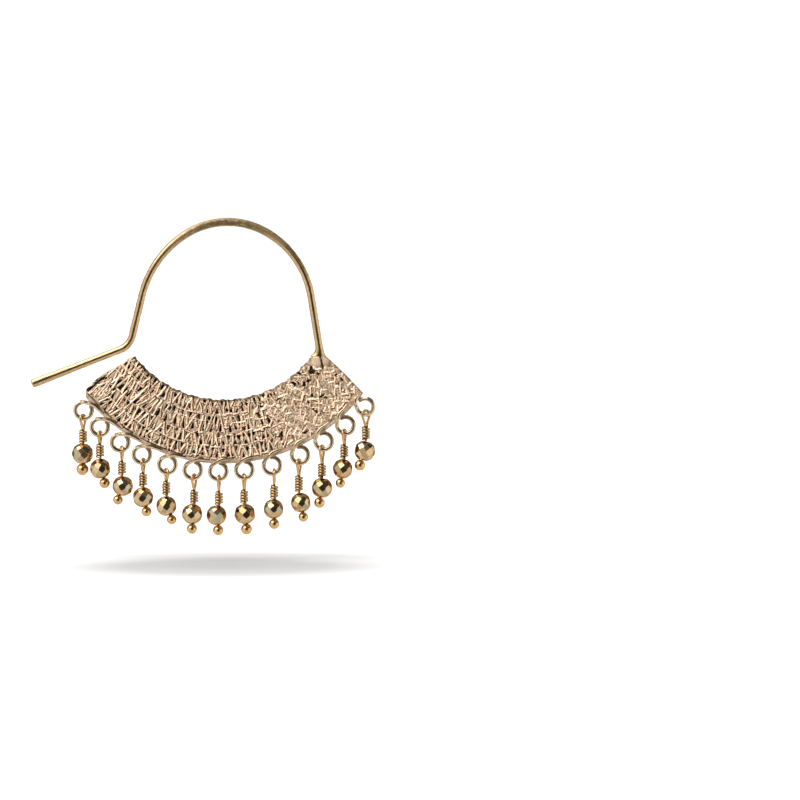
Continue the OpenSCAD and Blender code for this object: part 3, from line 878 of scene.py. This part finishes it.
def make_head_pin(k, row):
    rng = random.Random(500 + k)
    knee, loop_top, _, ball_at = pin_sizes(row)
    wraps_h = row["wraps"] * WRAP_PITCH
    height = loop_top[2] - knee[2] - wraps_h
    turn = 90 - row["loop_turn"]
    across = np.append(polar(1, turn), 0)
    middle = loop_top - UP * LOOP_R
    # Up the shank, round the loop, and back down in wraps round the shank
    shank = [turned(-UP * ball_at * t, row["lean"], knee)[0] for t in np.linspace(1, 0.02, 9)]
    neck = [knee + UP * wraps_h * t for t in (0.25, 0.5, 0.75, 0.97)]
    half_turn = math.pi - math.acos(LOOP_R / (height - LOOP_R))
    turns = np.linspace(-half_turn, half_turn, 17)
    around = [middle + LOOP_R * (across * math.sin(a) + UP * math.cos(a)) for a in turns]
    foot = knee + UP * (wraps_h + 0.12)
    left_foot, right_foot = foot - across * 0.08, foot + across * 0.12
    rising = [left_foot + (around[0] - left_foot) * share for share in (0.35, 0.7)]
    falling = [right_foot + (around[-1] - right_foot) * share for share in (0.7, 0.35)]
    start = turn + rng.uniform(-20, 20)
    wire_r, wrap_r, points_a_turn = 0.177, 0.468, 15
    spins = row["wraps"] - 0.45
    share = np.linspace(0, 1, int(points_a_turn * spins) + 1)
    a = np.radians(start + 360 * spins * share)
    out = wrap_r * np.minimum(1, 0.35 + share * spins * 1.6) * (1 + 0.03 * np.sin(5 * a + k))
    top = wraps_h - 0.03
    z = top - (top - wire_r) * share
    wraps = list(knee + np.column_stack([out * np.cos(a), out * np.sin(a), z]))
    shape = Shape()
    path = smooth_path(shank + neck + rising + around + falling + wraps, 0.06)
    run = distances(path)
    before = run[-1] - 2 * math.pi * wrap_r * spins
    radii = np.interp(run, [0, before - 0.8, before + 0.2, run[-1]], [PIN_R, 0.212, wire_r, wire_r])
    shape.tube(path, radii, radii, 12, (0.6, 0.5))
    # The ball, drawn a little towards the wire where it was melted
    ball_r, ball_flat, sides = row["ball_d"] / 2, 0.98, 36
    turn = np.linspace(0, 2 * math.pi, sides, endpoint=False)
    circle = np.column_stack([np.cos(turn), ball_flat * np.sin(turn), np.zeros(sides)])
    rings = []
    for a in np.radians(np.linspace(-90, 90, 25)):
        pull = 0.05 * smoothstep(0.6, 1.0, math.sin(a))
        ring = circle * math.cos(a) * (1 - 0.2 * pull) + UP * (math.sin(a) + pull)
        rings.append(turned(ball_r * ring - UP * ball_at, row["lean"], knee))
    shape.add_rings(rings[1:-1], [rings[0][:1], rings[-1][:1]])
    # Painted shade darkens the metal in the grooves between the wraps.
    points = np.vstack(shape.points) - knee
    groove = 1 - smoothstep(0.545, 0.64, np.hypot(points[:, 0], points[:, 1]))
    inside = smoothstep(-0.06, 0.0, points[:, 2])
    inside *= 1 - smoothstep(wraps_h - 0.1, wraps_h + 0.15, points[:, 2])
    name = f"head_pin_{k:02d}"
    shape.finish(name + "_dressed", groove * inside, PIN_METAL, "pin_metal", name)


# Beads
def make_bead(k, row):
    """A round bead cut by flat facets in rows, with slightly uneven angles, end tables and a bore."""
    rng = random.Random(900 + k)
    knee, _, bead_at, _ = pin_sizes(row)
    sides, bore_sides = 9, 20
    r, half = row["bead_d"] / 2 * 1.02, BEAD_H / 2
    planes = []
    girdle_r = r * math.cos(math.pi / sides)
    for latitude, distance, shift in (
        (0, girdle_r, 0), (21, r * 0.962, 0.5), (41, r * 0.985, 0), (58, r * 0.978, 0.5),
    ):
        for sign in (1, -1) if latitude else (1,):
            for n in range(sides):
                a = -90 + row["spin"] + (n + shift) * 360 / sides + rng.uniform(-2.2, 2.2)
                flat, rise = polar(1, sign * latitude + rng.uniform(-1.8, 1.8))
                normal = np.append(flat * polar(1, a), rise)
                planes.append((normal, distance * rng.uniform(0.985, 1.005)))
    planes += [(UP, half), (-UP, half)]
    cut = bmesh.new()
    bmesh.ops.create_cube(cut, size=2 * r * 1.3)
    for normal, distance in planes:
        geometry = cut.verts[:] + cut.edges[:] + cut.faces[:]
        result = bmesh.ops.bisect_plane(
            cut, geom=geometry, dist=1e-6, plane_co=normal * distance, plane_no=normal, clear_outer=True
        )
        edges = [e for e in result["geom_cut"] if isinstance(e, bmesh.types.BMEdge)]
        if edges:
            bmesh.ops.edgenet_fill(cut, edges=edges)
    bmesh.ops.dissolve_degenerate(cut, dist=1e-4, edges=cut.edges[:])
    bmesh.ops.recalc_face_normals(cut, faces=cut.faces[:])
    # The bore: each table becomes a ring round a hole, and a wall joins the two holes.
    rings = []
    for sign in (1, -1):
        table = max(cut.faces, key=lambda f: sign * f.calc_center_median().z * (abs(f.normal.z) > 0.999))
        outer = list(table.edges)
        bmesh.ops.delete(cut, geom=[table], context="FACES_ONLY")
        ring = []
        for n in range(bore_sides):
            x, y = polar(BORE_R, 360 * n / bore_sides)
            ring.append(cut.verts.new((x - row["offset"], y, sign * half)))
        after = ring[1:] + ring[:1]
        bmesh.ops.bridge_loops(cut, edges=[cut.edges.new(pair) for pair in zip(ring, after)] + outer)
        rings += [ring, after]
    for corners in zip(rings[0], rings[1], rings[3], rings[2]):
        cut.faces.new(corners)
    bmesh.ops.recalc_face_normals(cut, faces=cut.faces[:])
    outer_edges = [
        e
        for e in cut.edges
        if len(e.link_faces) == 2
        and e.calc_face_angle(0) > math.radians(3)
        and max(math.hypot(v.co.x, v.co.y) for v in e.verts) > BORE_R + 0.25
    ]
    bmesh.ops.bevel(cut, geom=outer_edges, offset=0.012, segments=1, affect="EDGES", profile=0.5)
    facet_layer = cut.faces.layers.float.new("facet")
    for face in cut.faces:
        # Facets at the sides, which face across the view, have a deeper orange tint: painted shade and a
        # painted warm reflection at the bead's outline.
        at_side = abs(face.normal.y) < 0.62 and abs(face.normal.z) < 0.9
        face[facet_layer] = rng.uniform(0.0, 0.3) if at_side else rng.uniform(0.3, 1.0)
        face.smooth = False
    c, s = polar(1, row["nod"])
    for v in cut.verts:
        x, y, z = v.co
        point = [x + row["offset"], y * c - z * s, z * c + y * s - bead_at]
        v.co = turned(point, row["lean"], knee)[0] * MM
    mesh = bpy.data.meshes.new(f"bead_{k:02d}_dressed")
    cut.to_mesh(mesh)
    cut.free()
    dress(add_object(mesh.name, mesh), BEAD_STONE, f"bead_{k:02d}")


make_ear_wire()
make_plate()
make_eyelets()
for number, drop in enumerate(DROPS, 1):
    make_head_pin(number, drop)
    make_bead(number, drop)


# Stage, light and camera
def make_floor():
    """A white floor, with a soft painted shadow under the drops."""
    mesh = bpy.data.meshes.new("floor")
    size, z = 6.0, -51.0 * MM
    corners = [(-size, -size, z), (size, -size, z), (size, size, z), (-size, size, z)]
    mesh.from_pydata(corners, [], [[0, 1, 2, 3]])
    floor = add_object("floor", mesh)
    material, n = new_material("floor_white")
    # The painted shadow is an ellipse, with these half lengths in metres.
    half_x, half_y = 0.041, 0.021
    place = {"Scale": (1 / half_x, 1 / half_y, 0), "Location": (0.01, 0.30, 0)}
    place = n.new("Mapping", {"Vector": n.new("TexCoord").outputs["Object"], **place})
    length = n.new("VectorMath", {0: place.outputs["Vector"]}, operation="LENGTH")
    shade = n.ramp(length.outputs["Value"], [(0.0, 0.50), (0.3, 0.54), (0.65, 0.75), (1.0, 0.95)])
    shade.node.color_ramp.interpolation = "EASE"
    n.shader(shade, 0.0, 0.9)
    mesh.materials.append(material)
    floor.visible_glossy = False


def direction(azimuth, elevation):
    """Azimuth 0 is towards the camera, and grows to the right."""
    a, e = math.radians(azimuth), math.radians(elevation)
    return (math.sin(a) * math.cos(e), -math.cos(a) * math.cos(e), math.sin(e))


def make_world():
    """The studio in the metal: white sides, a softbox up to the left, and black towards the camera."""
    world = bpy.data.worlds.new("studio")
    bpy.context.scene.world = world
    world.use_nodes = True
    n = Nodes(world.node_tree)
    toward = n.new("TexCoord").outputs["Generated"]
    apart = n.new("SeparateXYZ", {0: toward})

    def spot(azimuth, elevation, full, none):
        """1 within full degrees of a direction, falling to 0 at none degrees."""
        dot = n.new("VectorMath", {0: toward, 1: direction(azimuth, elevation)}, operation="DOT_PRODUCT")
        ends = [math.cos(math.radians(a)) for a in (none, full)]
        return n.remap(dot.outputs["Value"], *ends, 0, 1, interpolation_type="SMOOTHSTEP")

    colour = n.mix(n.remap(apart.outputs["Y"], -0.2, 0.5, 0, 1), (0.80,) * 3, (0.20,) * 3)
    colour = n.mix(n.remap(apart.outputs["Z"], -0.10, -0.35, 0, 1), colour, (0.78,) * 3)
    colour = n.mix(n.remap(apart.outputs["Z"], 0.45, 0.75, 0, 1), colour, (0.42,) * 3)
    for azimuth, elevation, full, none, level in (
        (90, 8, 32, 46, 1.05), (-75, 4, 30, 44, 0.95), (62, 55, 30, 44, 0.08), (4, 46, 14, 30, 0.22),
        (8, 4, 24, 38, 0.05), (-108, 66, 16, 26, 1.8), (-52, 50, 22, 29, 3.4),
    ):
        colour = n.mix(spot(azimuth, elevation, full, none), colour, (level,) * 3)
    back = n.new("Background", {"Color": colour})
    n.new("OutputWorld", {"Surface": back.outputs[0]})


def make_backdrop():
    """A white wall all round the object, lit evenly."""
    mesh = bpy.data.meshes.new("backdrop")
    sides, radius, bottom, top = 24, 4, -1, 8
    points = [(*polar(radius, 360 * k / sides), z) for z in (bottom, top) for k in range(sides)]
    mesh.from_pydata(points, [], [list(face) for face in grid_faces(2, sides, True)])
    backdrop = add_object("backdrop", mesh)
    material, n = new_material("backdrop_white")
    glow = n.new("Emission", {"Strength": 1.1})
    n.new("OutputMaterial", {"Surface": glow.outputs[0]})
    mesh.materials.append(material)
    backdrop.visible_glossy = False
    backdrop.visible_diffuse = False
    backdrop.visible_shadow = False


def make_lights():
    """A broad light overhead for the floor's shade, and a key light from the upper left for the relief."""
    for name, energy, spread, azimuth, elevation in (
        ("overhead", 2.0, 65, 0, 90),
        ("key", 10.2, 16, -50, 36),
    ):
        sun = bpy.data.lights.new(name, "SUN")
        sun.energy, sun.angle = energy, math.radians(spread)
        holder = add_object(name, sun)
        holder.rotation_mode = "QUATERNION"
        holder.rotation_quaternion = Vector(direction(azimuth, elevation)).to_track_quat("Z", "Y")
        holder.visible_glossy = False
        if name == "key":
            # The key lights the earring alone, so that the floor stays white.
            lit = bpy.data.collections.new("lit_by_key")
            for piece in DRESSED:
                lit.objects.link(piece)
            holder.light_linking.receiver_collection = lit


def make_camera():
    frame_width, elevation = 120.0, math.radians(4)
    camera = bpy.data.cameras.new("camera")
    camera.lens, camera.sensor_width = 120.0, 36.0
    camera.clip_start, camera.clip_end = 0.01, 20.0
    holder = add_object("camera", camera)
    # The middle of the photograph, at the hoop's plane
    target = Vector((25.725, 0.0, -26.64)) * MM
    back = Vector((0.0, -math.cos(elevation), math.sin(elevation)))
    distance = frame_width / 2 * MM / (camera.sensor_width / 2 / camera.lens)
    holder.location = target + back * distance
    holder.rotation_mode = "QUATERNION"
    holder.rotation_quaternion = back.to_track_quat("Z", "Y")
    bpy.context.scene.camera = holder


make_floor()
make_backdrop()
make_world()
make_lights()
make_camera()
bpy.context.scene.view_settings.view_transform = "Standard"
bpy.context.scene.cycles.use_denoising = True
